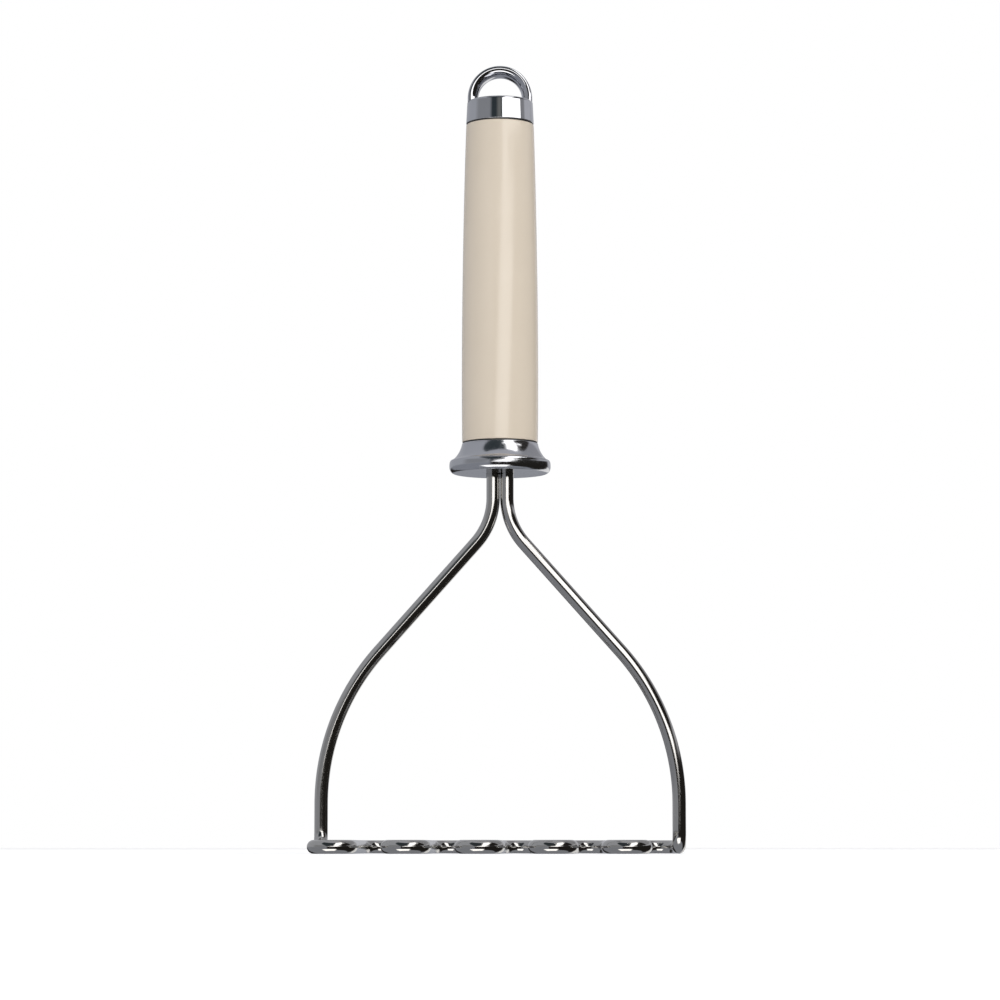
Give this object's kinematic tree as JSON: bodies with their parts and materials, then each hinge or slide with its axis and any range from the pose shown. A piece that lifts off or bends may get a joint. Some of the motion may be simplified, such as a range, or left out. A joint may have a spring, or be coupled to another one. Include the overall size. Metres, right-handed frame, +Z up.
{
  "type": "potato masher",
  "caption": "Wire potato masher: a flat serpentine wire head on two spread arms, with a flared collar and a tapered round handle that ends in a hanging loop.",
  "frame": {"origin": "middle of the head, at the height of its underside", "axes": "+Z up the handle to the hanging loop, X along the long side of the head, Y across the head"},
  "size_m": [0.1206, 0.0804, 0.2592],
  "materials": {
    "wire": "polished stainless steel wire, drawn and bright, with fine draw lines",
    "plated_metal": "polished bright chrome plate",
    "shell_plastic": "high gloss almond cream moulding",
    "core_plastic": "plain dark moulding",
    "seal": "matt black silicone",
    "plain_steel": "plain turned steel"
  },
  "bodies": {
    "root": {"masher_wire": "wire", "shank_coupler": "plain_steel", "tie_rod": "plain_steel", "bolster": "plated_metal", "shank_seal": "seal", "bolster_seal": "seal", "handle_core": "core_plastic", "handle_shell": "shell_plastic", "cap_seal": "seal", "plain_washer": "plain_steel", "spring_washer": "plain_steel", "clamp_nut": "plain_steel", "end_cap": "plated_metal"}
  },
  "joints": []
}
